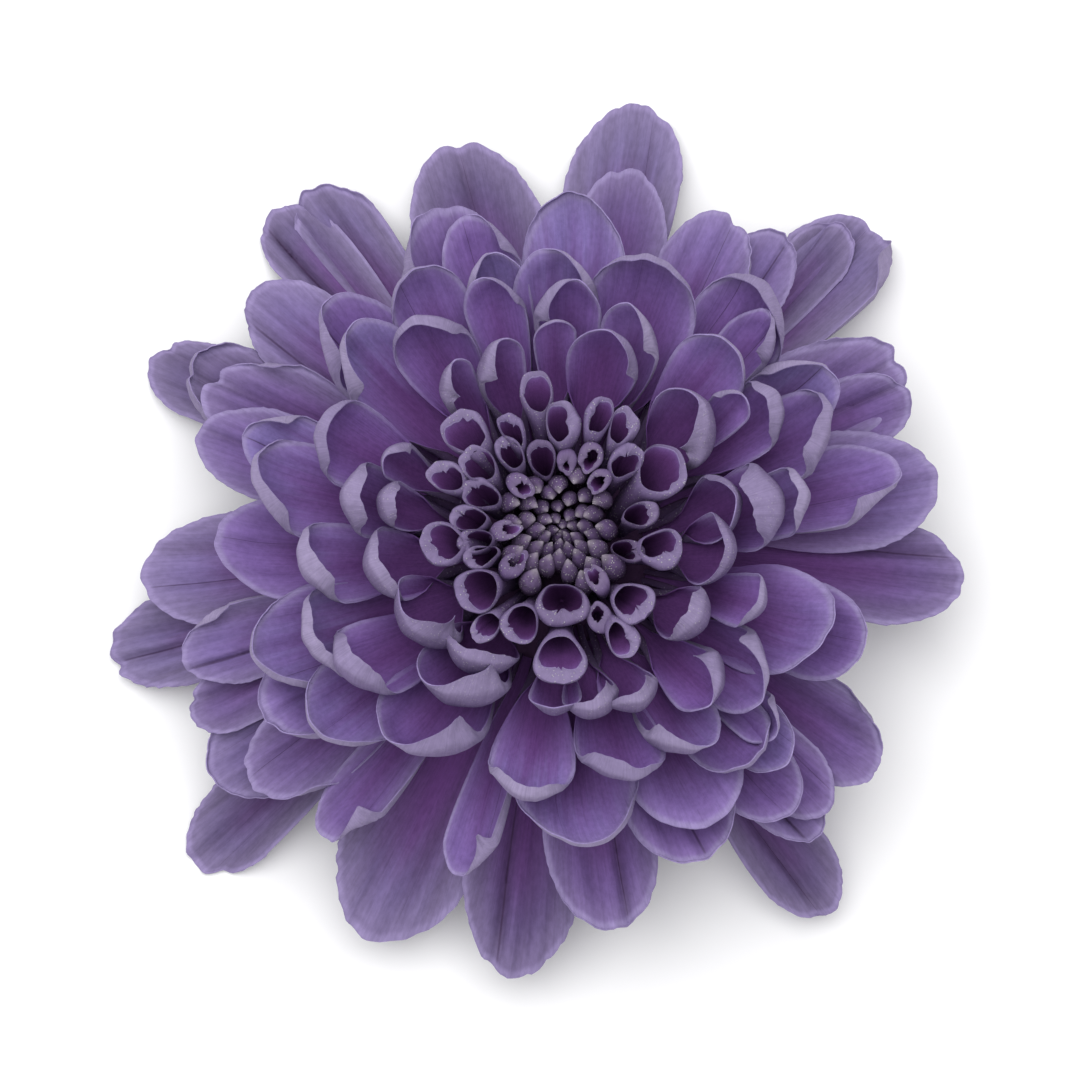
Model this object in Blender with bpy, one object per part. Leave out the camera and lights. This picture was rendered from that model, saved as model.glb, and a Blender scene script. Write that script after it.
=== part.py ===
"""A pompon chrysanthemum bloom, cut with a short stub of its stem and laid face up on its cut end.

Sizes are in millimetres and angles in degrees until they reach a mesh, which is in metres.
The florets stand on one receptacle. Each ray floret is a thin trough that opens into a cupped,
rounded limb, bent along a curve in the upright plane through the bloom's axis.
"""

import math
from collections import namedtuple

import bpy
import numpy as np

MM = 0.001
GOLDEN_ANGLE = 137.50776
SEED = 7

# Blades
BLADE_THICKNESS = 0.64
BASE_SHARE = 0.36
BASE_START = 3.0
BASE_HALF_LEAST = 0.55
BASE_CUP = 112.0
LIMB_SHARE = 0.76
TWIST_SPREAD = 7.0
BEND_SPREAD = 0.4
RAY_TRIANGLES = 11900

# From this reach on a floret gets a second row of points along its trough.
LONG_REACH = 34

# Receptacle, and the clear room kept round the young florets
CORE_SIDES = 20
CORE_PROFILE = (
    (0, 10.2),
    (8.6, 10.2),
    (12.2, 11.6),
    (13.8, 13.6),
    (13.4, 17.0),
    (11.4, 19.8),
    (8.8, 20.8),
    (6.6, 20.4),
    (5.7, 17.0),
    (5.6, 16.1),
    (0, 16.1),
)
YOUNG_CLEAR_R = 5.7
YOUNG_CLEAR_SLOPE = 0.21
YOUNG_CLEAR_Z = 17.0

# Young florets
YOUNG_COUNT = 64
YOUNG_PLUG = ((0, 16.4), (4.6, 16.4), (5.1, 16.9), (4.4, 17.9), (2.6, 18.7), (0, 19.0))
YOUNG_SPREAD = 0.80
YOUNG_FOOT_Z = 17.4
YOUNG_BELLY_Z = 21.5
YOUNG_TIP_Z = (23.2, 25.4)
YOUNG_WIDTH = (1.15, 2.0)
YOUNG_TRIANGLES = 3000

# Green parts
CUP_PROFILE = ((0, 6.6), (3.6, 6.6), (6.8, 7.4), (9.4, 9.0), (9.9, 9.9), (8.6, 9.9), (0, 9.9))
BractRow = namedtuple("BractRow", "count low_r low_z high_r high_z width")
BRACT_ROWS = (BractRow(10, 3.6, 6.9, 8.0, 7.8, 3.4), BractRow(14, 6.4, 7.6, 10.8, 10.2, 3.4))
BRACT_OUTLINE = ((0.0, 0.36), (0.55, 0.5), (0.85, 0.26))
BRACT_THICKNESS = 0.7
BRACT_TRIANGLES = 1800
STUB_HEIGHT = 6.3
STUB_RADIUS = 2.7
STUB_TOP_RADIUS = 3.2
STUB_RIBS = 7
STUB_SIDES = 28
STUB_RIB_DEPTH = 0.12

# How a floret's curve changes with its reach from the axis
Stage = namedtuple("Stage", "reach tip_z root_r root_z rise fall cup")
GROWTH = (
    Stage(6.5, 24.6, 5.6, 15.6, 86, 100, 116),
    Stage(10, 26.4, 6.1, 15.4, 82, 96, 110),
    Stage(14, 27.8, 6.7, 15.0, 76, 86, 98),
    Stage(18, 27.6, 7.3, 14.5, 70, 74, 86),
    Stage(22, 26.2, 7.8, 14.0, 63, 62, 76),
    Stage(26, 24.0, 8.3, 13.4, 55, 50, 68),
    Stage(30, 20.8, 8.7, 12.9, 46, 36, 60),
    Stage(34, 16.2, 9.0, 12.4, 36, 20, 50),
    Stage(38, 10.4, 9.2, 12.0, 25, 2, 38),
    Stage(42, 4.2, 9.3, 11.7, 14, -14, 26),
    Stage(45, 0.6, 9.3, 11.5, 9, -18, 22),
    Stage(48, -0.8, 9.3, 11.4, 7, -18, 20),
)

# Ray florets from the inside out, as they stand in the photograph: azimuth counter-clockwise from
# +X, reach of the outer edge from the axis, breadth of the limb, the side its edge curls in on
# (1 counter-clockwise, -1 clockwise, 0 the tip) and how strongly it curls.
RAY_FLORETS = (
    (8, 9, 3.0, 0, 1.5), (106, 9, 3.0, 0, 1), (-175, 10, 2.4, 0, 1.5), (-161, 10, 3.0, 0, 1.2),
    (-90, 10, 5.8, 0, 1.8), (128, 10, 2.8, 0, 1.5), (158, 10, 3.4, -0.5, 1.3), (175, 11, 3.0, -0.5, 1.5),
    (51, 11.5, 4.2, 0.5, 1.3), (-124, 12, 2.8, 0, 1.2), (-107, 12, 4.0, -0.5, 1.2), (-11, 12, 5.2, -0.6, 1.6),
    (59, 12, 4.4, -0.5, 2), (89, 12, 4.0, -1, 1.8), (120, 12, 2.6, -0.5, 1.5), (144, 12, 3.6, 0, 1),
    (-142, 12.5, 6.0, -0.3, 1.2), (-48, 12.5, 4.8, 0, 1.6), (34, 13, 5.8, -0.8, 0.7), (72, 13, 3.0, 1, 1.2),
    (-170, 14, 4.8, 0.2, 1.4), (-58, 14, 4.2, 1, 2), (157, 14, 3.4, -0.5, 1.5), (139, 14.5, 4.6, -0.5, 1),
    (101, 15, 3.8, 0.3, 0.6), (-91, 16, 6.0, 0, 1.6), (-123, 16.5, 7.2, 0.3, 1), (-35, 16.5, 5.8, 0, 1.4),
    (-8, 16.5, 6.8, -0.3, 0.7), (6, 17, 6.2, 1, 0.8), (172, 17.5, 4.4, 0, 1.8), (-149, 18, 8.0, 1, 1.7),
    (-92, 18, 4.8, 0, 0.1), (40, 18, 7.6, -1, 1.7), (157, 18, 3.8, -1, 2), (-81, 18.5, 5.2, 0.6, 2),
    (112, 18.5, 5.2, 1, 1.8), (126, 18.5, 4.2, 1, 2), (-169, 19, 7.2, 0.3, 1.2), (-69, 19, 5.4, 0.7, 1.9),
    (77, 19, 6.8, -1, 1), (91, 19.5, 5.2, 0, 0.3), (-123, 20, 8.8, 1, 1.7), (-21, 20.5, 5.2, -0.3, 0.8),
    (7, 21, 8.0, 0, 1.7), (35, 21, 3.8, 1, 1), (171, 21, 6.8, 0.3, 1.4), (-48, 22, 6.2, 1, 2),
    (69, 22, 6.2, -1, 1.2), (6, 23.5, 6.2, 0, 1), (48, 23.5, 7.4, -0.5, 0.5), (88, 23.5, 6.2, 1, 1.9),
    (30, 24, 6.4, -0.3, 1.3), (124, 24.5, 7.4, -0.5, 1.2), (-173, 25, 7.8, 0.3, 1.2), (-144, 25, 8.2, 0, 1.3),
    (-75, 25, 8.2, -0.5, 1), (-59, 25, 7.4, -1, 1.3), (-38, 25, 7.8, 1, 1.3), (106, 25, 5.6, -1, 1),
    (157, 25, 7.8, 0.3, 1), (-125, 26, 10.4, 1, 1.5), (-97, 26, 7.8, -0.3, 1.2), (-156, 26.5, 8.8, 0.2, 1.2),
    (-23, 27, 11.0, 0, 0.1), (91, 27, 7.8, -1, 1), (70, 27.5, 10.6, 0, 0.5), (104, 27.5, 6.0, 1, 2),
    (-44, 28, 4.8, 1, 1), (23, 28, 8.4, -0.6, 1.3), (137, 28, 8.4, 1, 1.1), (-51, 28.5, 8.0, 0, 0.4),
    (47, 29, 5.4, -1, 2), (120, 29, 7.6, 0.5, 0.6), (-142, 30, 9.2, 0.5, 0.6), (-88, 30, 11.4, 0.6, 0.8),
    (30, 30, 8.2, 1, 1), (169, 30, 9.0, 0.6, 1.2), (-45, 30.5, 6.2, 0, 0.2), (-20, 30.5, 9.2, 0, 0.1),
    (-61, 31, 11.4, 0, 0), (50, 31, 9.8, -0.2, 0.9), (-158, 31.5, 10.0, 0.6, 0.9), (135, 32, 9.4, 1, 1.2),
    (162, 32, 6.8, -1, 1), (-178, 33, 10.6, 0, 0), (-149, 33, 10.4, 1, 1.3), (-105, 33, 4.8, 0, 1.9),
    (12, 33, 8.2, -1, 1.2), (106, 33, 7.2, -1, 1), (-66, 33.5, 10.4, 0, 0.1), (-51, 34, 8.0, 0, 0.1),
    (87, 34, 10.0, 0, 0.3), (111, 35, 12.2, 1, 1.1), (-129, 36, 6.4, 1, 1.5), (-44, 36, 6.8, 0, 0.1),
    (-83, 37, 10.4, 0, 0.1), (-49, 37, 6.2, 0, 0.2), (-35, 37, 8.8, 1, 0.7), (12, 37, 11.6, 0, 0),
    (26, 37, 7.4, 0, 0.1), (63, 37, 8.8, -1, 0.5), (162, 37, 8.8, 0, 0), (-142, 37.5, 9.2, 1, 0.6),
    (-164, 38, 7.4, -1, 1.2), (31, 38, 10.4, 0.5, 0.3), (55, 38.5, 7.2, 0, 0.2), (153, 38.5, 9.2, -1, 0.8),
    (-157, 39, 6.4, 0, 0.1), (-3, 39, 10.0, 0, 0), (79, 39, 9.0, 0, 0), (-147, 40, 9.8, 0, 0.3),
    (139, 40.5, 9.4, 0, 0.1), (-178, 41, 11.2, 0, 0), (-97, 41, 11.0, 0, 0), (152, 41, 9.0, 0.5, 1),
    (-118, 41.5, 13.4, 0, 0), (-53, 43, 7.8, 0, 0.1), (104, 44, 12.8, 0, 0), (50, 44.5, 6.2, 0, 0.2),
    (-169, 45, 9.2, 0, 0.1), (-142, 46, 8.2, 0, 0.1), (122, 46, 8.2, -0.5, 0.4), (152, 46, 7.8, 0, 0.1),
    (48, 46.5, 10.4, -1, 1.2), (128, 46.5, 7.4, 0, 0.1), (81, 48, 11.2, 0, 0),
)


def between(low, high, share):
    return low + (high - low) * share


def eased(share):
    share = np.clip(share, 0, 1)
    return share * share * (3 - 2 * share)


def stage_at(reach):
    """The growth stage for a reach that may lie between two rows."""
    reaches = [row.reach for row in GROWTH]
    columns = zip(*GROWTH)
    return Stage(*(np.interp(reach, reaches, column) for column in columns))


class Spine:
    """A floret's centre line in the upright plane, as radius and height read by arc length."""

    HANDLE = 0.40
    SAMPLES = 32

    def __init__(self, root, tip, rise, fall):
        root, tip = np.array(root), np.array(tip)
        handle = np.linalg.norm(tip - root) * self.HANDLE
        leaving = root + handle * np.array((math.cos(rise), math.sin(rise)))
        arriving = tip - handle * np.array((math.cos(fall), math.sin(fall)))
        t = np.linspace(0, 1, self.SAMPLES)[:, None]
        s = 1 - t
        self.points = s**3 * root + 3 * s * s * t * leaving + 3 * s * t * t * arriving + t**3 * tip
        self.along = np.concatenate([[0], np.cumsum(np.linalg.norm(np.diff(self.points, axis=0), axis=1))])
        self.length = self.along[-1]
        slope = np.gradient(self.points, self.along, axis=0)
        self.tangents = slope / np.linalg.norm(slope, axis=1)[:, None]

    def at(self, distance):
        """Points and unit tangents at these distances, straight on past the end."""
        inside = np.clip(distance, 0, self.length)
        point = np.stack([np.interp(inside, self.along, self.points[:, k]) for k in (0, 1)], -1)
        tangent = np.stack([np.interp(inside, self.along, self.tangents[:, k]) for k in (0, 1)], -1)
        tangent /= np.linalg.norm(tangent, axis=-1, keepdims=True)
        return point + tangent * (distance - inside)[..., None], tangent


def limb_outline(spine_length, half, trough_rows, cap_points):
    """Flat outline of a floret: where each edge point's rib leaves the spine, its direction and its reach."""
    limb = min(2 * half * LIMB_SHARE, 0.55 * spine_length)
    throat = spine_length - limb
    feet = np.linspace(min(BASE_START, 0.28 * throat), throat, trough_rows + 1)
    halves = np.maximum(half * between(BASE_SHARE, 1, eased(feet / throat * 1.1)), BASE_HALF_LEAST)
    turn = np.linspace(math.pi / 2, -math.pi / 2, cap_points + 2)[1:-1]
    foot = np.concatenate([feet, np.full(cap_points, throat), feet[::-1]])
    forward = np.concatenate([np.zeros(len(feet)), limb * np.cos(turn), np.zeros(len(feet))])
    sideways = np.concatenate([halves, half * np.sin(turn), -halves[::-1]])
    return foot, throat, forward, sideways


def floret_sheet(azimuth, reach, breadth, curl, lip, draw, trough_rows, cap_points, rings):
    """Middle surface of one ray floret: points and normals, one row for each edge point, spine first."""
    stage = stage_at(reach)
    half = breadth / 2
    twist = math.radians(draw.normal(0, TWIST_SPREAD))
    bend = draw.normal(0, BEND_SPREAD)
    tip_r = reach
    for _ in range(3):
        root = (stage.root_r, stage.root_z)
        spine = Spine(root, (tip_r, stage.tip_z), math.radians(stage.rise), math.radians(stage.fall))
        foot, throat, forward, sideways = limb_outline(spine.length, half, trough_rows, cap_points)
        silhouette = np.hypot(forward, sideways)
        ahead, across = forward / silhouette, sideways / silhouette
        opened = between(max(BASE_CUP, stage.cup), stage.cup, eased(foot / throat / 0.6))
        cup = np.radians(opened) * (1 + 0.14 * curl * across * min(lip, 1)) + np.zeros(len(foot))
        rib = silhouette * cup / np.sin(np.minimum(cup, math.pi / 2))
        turned = cup[:, None] * np.linspace(0, 1, rings + 1)
        out = rib[:, None] * np.sin(turned) / cup[:, None]
        up = rib[:, None] * (1 - np.cos(turned)) / cup[:, None]
        distance = foot[:, None] + out * ahead[:, None]
        point, tangent = spine.at(distance)
        share = np.clip(distance / spine.length, 0, 1.2)
        roll = twist * share**2
        side = out * across[:, None]
        lateral = side * np.cos(roll) - up * np.sin(roll) + bend * share**2
        lift = side * np.sin(roll) + up * np.cos(roll)
        radius = point[..., 0] - lift * tangent[..., 1]
        height = np.maximum(point[..., 1] + lift * tangent[..., 0], BLADE_THICKNESS / 2)
        tip_r += reach - BLADE_THICKNESS / 2 - np.hypot(radius, lateral).max()
    sink, stand = -np.sin(turned), np.cos(turned)
    normal_side = sink * across[:, None] * np.cos(roll) - stand * np.sin(roll)
    normal_lift = sink * across[:, None] * np.sin(roll) + stand * np.cos(roll)
    normal_r = sink * ahead[:, None] * tangent[..., 0] - normal_lift * tangent[..., 1]
    normal_z = sink * ahead[:, None] * tangent[..., 1] + normal_lift * tangent[..., 0]
    turn = math.radians(azimuth)
    points = turned_to(turn, radius, lateral, height)
    normals = turned_to(turn, normal_r, normal_side, normal_z)
    return points, normals


def turned_to(turn, radial, lateral, height):
    east = radial * math.cos(turn) - lateral * math.sin(turn)
    north = radial * math.sin(turn) + lateral * math.cos(turn)
    return np.stack([east, north, height], -1)


def kept_clear(points):
    """Moves points out of the room that the young florets take, and up from below the surface."""
    room = YOUNG_CLEAR_R + YOUNG_CLEAR_SLOPE * np.maximum(points[:, 2] - YOUNG_CLEAR_Z, 0)
    radius = np.hypot(points[:, 0], points[:, 1])
    push = np.maximum(room / np.maximum(radius, 1e-6), 1)
    return np.column_stack([points[:, 0] * push, points[:, 1] * push, np.maximum(points[:, 2], 0)])


def blade(points, normals, thickness, trough_rows):
    """Closed triangles round a sheet: both faces split alike, a rim, and the cut base."""
    rows, rings = points.shape[:2]
    number = {}
    where = []

    def corner(row, ring, face):
        if ring == 0:
            row = min(row, rows - 1 - row, trough_rows)
        key = (row, ring, face)
        if key not in number:
            number[key] = len(where)
            where.append(points[row, ring] + normals[row, ring] * thickness / 2 * (1, -1)[face])
        return number[key]

    faces = []

    def add(*corners):
        if len(set(corners)) == 3:
            faces.append(corners)

    for row in range(rows - 1):
        for ring in range(rings - 1):
            for face in (0, 1):
                a, b = corner(row, ring, face), corner(row + 1, ring, face)
                c, d = corner(row + 1, ring + 1, face), corner(row, ring + 1, face)
                if face == 0:
                    add(a, b, c)
                    add(a, c, d)
                else:
                    add(c, b, a)
                    add(d, c, a)
    edge = [(row, rings - 1) for row in range(rows)]
    edge += [(rows - 1, ring) for ring in range(rings - 2, -1, -1)]
    edge += [(0, ring) for ring in range(rings)]
    for (row, ring), (next_row, next_ring) in zip(edge, edge[1:]):
        a, b = corner(row, ring, 0), corner(next_row, next_ring, 0)
        c, d = corner(next_row, next_ring, 1), corner(row, ring, 1)
        add(a, b, c)
        add(a, c, d)
    return kept_clear(np.array(where)), faces


def lathe(profile, sides, ripple=None):
    """A closed solid turned from (radius, height) points that start and end on the axis."""
    where = [(0, 0, profile[0][1])]
    for radius, height in profile[1:-1]:
        for side in range(sides):
            angle = 2 * math.pi * side / sides
            wide = radius * (ripple(angle) if ripple else 1)
            where.append((wide * math.cos(angle), wide * math.sin(angle), height))
    where.append((0, 0, profile[-1][1]))
    last = len(where) - 1
    bands = len(profile) - 2
    faces = []
    for side in range(sides):
        after = (side + 1) % sides
        faces.append((0, 1 + after, 1 + side))
        for band in range(bands - 1):
            low, high = 1 + band * sides, 1 + (band + 1) * sides
            faces.append((low + side, low + after, high + after))
            faces.append((low + side, high + after, high + side))
        top = 1 + (bands - 1) * sides
        faces.append((last, top + side, top + after))
    return np.array(where, float), faces


def pod(foot, tip, belly, width, sides):
    """A closed bud from foot to tip, bowed out towards `belly`, pointed at the tip."""
    foot, tip, belly = (np.array(p, float) for p in (foot, tip, belly))
    axis = tip - foot
    axis /= np.linalg.norm(axis)
    first = np.cross(axis, (0.3, 0.5, 0.8))
    first /= np.linalg.norm(first)
    second = np.cross(axis, first)
    where = []
    for share, girth in ((0.0, 0.55), (0.45, 0.9), (0.8, 1.0)):
        middle = (1 - share) ** 2 * foot + 2 * share * (1 - share) * belly + share**2 * tip
        for side in range(sides):
            angle = 2 * math.pi * side / sides
            where.append(middle + girth * width / 2 * (math.cos(angle) * first + math.sin(angle) * second))
    where.append(foot)
    where.append(tip)
    base, top = len(where) - 2, len(where) - 1
    faces = []
    for side in range(sides):
        after = (side + 1) % sides
        faces.append((base, after, side))
        for band in (0, 1):
            low, high = band * sides, (band + 1) * sides
            faces.append((low + side, low + after, high + after))
            faces.append((low + side, high + after, high + side))
        faces.append((top, 2 * sides + side, 2 * sides + after))
    return np.array(where), faces


def mesh_object(name, points, faces, collection):
    mesh = bpy.data.meshes.new(name)
    mesh.from_pydata([tuple(p) for p in points * MM], [], faces)
    mesh.validate()
    made = bpy.data.objects.new(name, mesh)
    collection.objects.link(made)
    return made


def largest_body(mesh):
    """Keeps the biggest closed shell: a sealed hollow is filled and a loose scrap dropped."""
    count = len(mesh.vertices)
    points = np.empty(count * 3)
    mesh.vertices.foreach_get("co", points)
    points = points.reshape(-1, 3)
    mesh.calc_loop_triangles()
    corners = np.empty(len(mesh.loop_triangles) * 3, int)
    mesh.loop_triangles.foreach_get("vertices", corners)
    triangles = corners.reshape(-1, 3)
    group = np.arange(count)
    while True:
        least = group[triangles].min(axis=1)
        joined = group.copy()
        for k in range(3):
            np.minimum.at(joined, triangles[:, k], least)
        joined = joined[joined]
        if (joined == group).all():
            break
        group = joined
    a, b, c = (points[triangles[:, k]] for k in range(3))
    volume = np.einsum("ij,ij->i", a, np.cross(b, c)) / 6
    body = group[triangles[:, 0]]
    names = np.unique(body)
    best = max(names, key=lambda name: volume[body == name].sum())
    kept = triangles[body == best]
    used, again = np.unique(kept, return_inverse=True)
    return points[used] / MM, [tuple(int(k) for k in face) for face in again.reshape(-1, 3)]


def evaluated(made):
    """The mesh that an object's modifiers leave."""
    graph = bpy.context.evaluated_depsgraph_get()
    return bpy.data.meshes.new_from_object(made.evaluated_get(graph))


def fused(name, base, pieces, material, most_triangles):
    """One closed body made of a base and the pieces that stand in it, thinned to so many triangles."""
    group = bpy.data.collections.new(name + " pieces")
    core = mesh_object(name + " base", *base, bpy.context.scene.collection)
    for k, piece in enumerate(pieces):
        mesh_object(f"{name} piece {k}", *piece, group)
    union = core.modifiers.new("union", "BOOLEAN")
    union.operation = "UNION"
    union.operand_type = "COLLECTION"
    union.collection = group
    union.solver = "EXACT"
    points, faces = largest_body(evaluated(core))
    if len(faces) > most_triangles:
        whole = mesh_object(name + " whole", points, faces, bpy.context.scene.collection)
        thinner = whole.modifiers.new("thinner", "DECIMATE")
        thinner.ratio = most_triangles / len(faces)
        points, faces = largest_body(evaluated(whole))
        bpy.data.objects.remove(whole)
    for helper in [core, *group.objects]:
        bpy.data.objects.remove(helper)
    bpy.data.collections.remove(group)
    whole = mesh_object(name, points, faces, bpy.context.scene.collection)
    whole.data.materials.append(material)
    return whole


def surface(name, colour, roughness):
    made = bpy.data.materials.new(name)
    made.use_nodes = True
    shader = made.node_tree.nodes["Principled BSDF"]
    shader.inputs["Base Color"].default_value = (*colour, 1)
    shader.inputs["Roughness"].default_value = roughness
    shader.inputs["Metallic"].default_value = 0
    return made


def ray_florets():
    pieces = []
    for order, (azimuth, reach, breadth, curl, lip) in enumerate(RAY_FLORETS):
        draw = np.random.default_rng((SEED, order))
        trough_rows = 1 if reach < LONG_REACH else 2
        sheet = floret_sheet(azimuth, reach, breadth, curl, lip, draw, trough_rows, 3, 2)
        pieces.append(blade(*sheet, BLADE_THICKNESS, trough_rows))
    violet = surface("petal_violet", (0.17, 0.10, 0.27), 0.6)
    return fused("ray_florets", lathe(CORE_PROFILE, CORE_SIDES), pieces, violet, RAY_TRIANGLES)


def young_florets():
    pieces = []
    for order in range(YOUNG_COUNT):
        draw = np.random.default_rng((SEED, 1000 + order))
        share = order / YOUNG_COUNT
        radius = YOUNG_SPREAD * math.sqrt(order + 0.4)
        turn = -math.radians(order * GOLDEN_ANGLE) + draw.normal(0, 0.05)
        toward = np.array((math.cos(turn), math.sin(turn), 0))
        up = np.array((0, 0, 1.0))
        width = between(*YOUNG_WIDTH, share) * draw.uniform(0.92, 1.08)
        foot = toward * radius * 0.62 + up * (YOUNG_FOOT_Z - 0.2 * share)
        tip = toward * (radius - 0.5 * share) + up * (between(*YOUNG_TIP_Z, share) + draw.normal(0, 0.15))
        belly = toward * (radius * 0.9 + 0.7 * share) + up * YOUNG_BELLY_Z
        pieces.append(pod(foot, tip, belly, width, 4))
    dusky = surface("bud_grey_violet", (0.10, 0.07, 0.14), 0.7)
    return fused("young_florets", lathe(YOUNG_PLUG, 14), pieces, dusky, YOUNG_TRIANGLES)


def bract(row, turn, wide):
    """A closed leaf-shaped scale: both faces, then the rim from foot to point and back."""
    rows = []
    for share, half in BRACT_OUTLINE:
        radius = between(row.low_r, row.high_r, share)
        height = between(row.low_z, row.high_z, share**1.3)
        rows.append([(radius, side * half * wide, height) for side in (-1, 1)])
    flat = [corner for pair in rows for corner in pair] + [(row.high_r, 0, row.high_z)]
    where = []
    for lift in (0.5 * BRACT_THICKNESS, -0.5 * BRACT_THICKNESS):
        where += [(radius + 0.4 * lift, side, height - lift) for radius, side, height in flat]
    where = np.array(where)
    count = len(flat)
    faces = []
    fan = [(0, 1, 3), (0, 3, 2), (2, 3, 5), (2, 5, 4), (4, 5, 6)]
    for start, order in ((0, 1), (count, -1)):
        faces += [tuple(start + corner for corner in face[::order]) for face in fan]
    rim = (0, 2, 4, 6, 5, 3, 1)
    for a, b in zip(rim, rim[1:] + rim[:1]):
        faces.append((a, b, b + count))
        faces.append((a, b + count, a + count))
    return turned_to(turn, where[:, 0], where[:, 1], where[:, 2]), faces


def involucre():
    pieces = []
    for number, row in enumerate(BRACT_ROWS):
        for k in range(row.count):
            draw = np.random.default_rng((SEED, 2000 + 100 * number + k))
            turn = 2 * math.pi * (k + 0.5 * (number % 2) + draw.uniform(-0.08, 0.08)) / row.count
            wide = row.width * draw.uniform(0.9, 1.1)
            pieces.append(bract(row, turn, wide))
    green = surface("bract_green", (0.10, 0.16, 0.05), 0.65)
    return fused("involucre", lathe(CUP_PROFILE, CORE_SIDES), pieces, green, BRACT_TRIANGLES)


def peduncle():
    def ribbed(angle):
        return 1 + STUB_RIB_DEPTH * math.cos(STUB_RIBS * angle) / 2

    profile = (
        (0, 0),
        (STUB_RADIUS, 0),
        (STUB_RADIUS * 0.96, STUB_HEIGHT * 0.5),
        (STUB_TOP_RADIUS, STUB_HEIGHT),
        (0, STUB_HEIGHT),
    )
    points, faces = lathe(profile, STUB_SIDES, ribbed)
    made = mesh_object("peduncle", points, faces, bpy.context.scene.collection)
    made.data.materials.append(surface("stem_green", (0.13, 0.20, 0.06), 0.6))
    return made


def main():
    for leftover in list(bpy.data.objects):
        bpy.data.objects.remove(leftover)
    ray_florets()
    young_florets()
    involucre()
    peduncle()


main()
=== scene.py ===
"""How the chrysanthemum bloom looks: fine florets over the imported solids, their finishes and the studio.

Sizes are in millimetres and angles in degrees, until they reach a mesh, light or camera.
"""

import functools
import math
from collections import namedtuple

import bpy
import numpy as np
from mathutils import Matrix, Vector


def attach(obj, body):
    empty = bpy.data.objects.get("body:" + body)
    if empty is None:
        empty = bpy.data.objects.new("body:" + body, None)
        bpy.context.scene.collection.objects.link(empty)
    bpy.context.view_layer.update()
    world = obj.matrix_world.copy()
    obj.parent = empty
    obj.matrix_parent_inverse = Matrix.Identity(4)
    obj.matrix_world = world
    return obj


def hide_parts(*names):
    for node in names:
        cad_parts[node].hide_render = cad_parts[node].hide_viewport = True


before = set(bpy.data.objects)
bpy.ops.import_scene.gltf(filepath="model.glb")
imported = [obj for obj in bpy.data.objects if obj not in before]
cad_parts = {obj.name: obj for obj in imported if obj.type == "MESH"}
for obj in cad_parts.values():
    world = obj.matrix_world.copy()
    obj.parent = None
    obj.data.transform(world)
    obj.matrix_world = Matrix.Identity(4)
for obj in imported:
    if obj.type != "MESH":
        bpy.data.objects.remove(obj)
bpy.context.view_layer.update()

MM = 0.001
GOLDEN_ANGLE = 137.50776

# One seed for the whole bloom, and the number that each kind of seeded part counts on from
SEED = 7
POD_COUNT_FROM = 1000
BRACT_COUNT_FROM = 2000
BRACT_COUNT_STEP = 100
TUBE_COUNT_FROM = 4000

# How a floret's curve changes with its reach from the axis
Stage = namedtuple("Stage", "reach tip_z root_r root_z rise fall cup")
GROWTH = (
    Stage(6.5, 24.6, 5.6, 15.6, 86, 100, 116),
    Stage(10, 26.4, 6.1, 15.4, 82, 96, 110),
    Stage(14, 27.8, 6.7, 15.0, 76, 86, 98),
    Stage(18, 27.6, 7.3, 14.5, 70, 74, 86),
    Stage(22, 26.2, 7.8, 14.0, 63, 62, 76),
    Stage(26, 24.0, 8.3, 13.4, 55, 50, 68),
    Stage(30, 20.8, 8.7, 12.9, 46, 36, 60),
    Stage(34, 16.2, 9.0, 12.4, 36, 20, 50),
    Stage(38, 10.4, 9.2, 12.0, 25, 2, 38),
    Stage(42, 4.2, 9.3, 11.7, 14, -14, 26),
    Stage(45, 0.6, 9.3, 11.5, 9, -18, 22),
    Stage(48, -0.8, 9.3, 11.4, 7, -18, 20),
)

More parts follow.
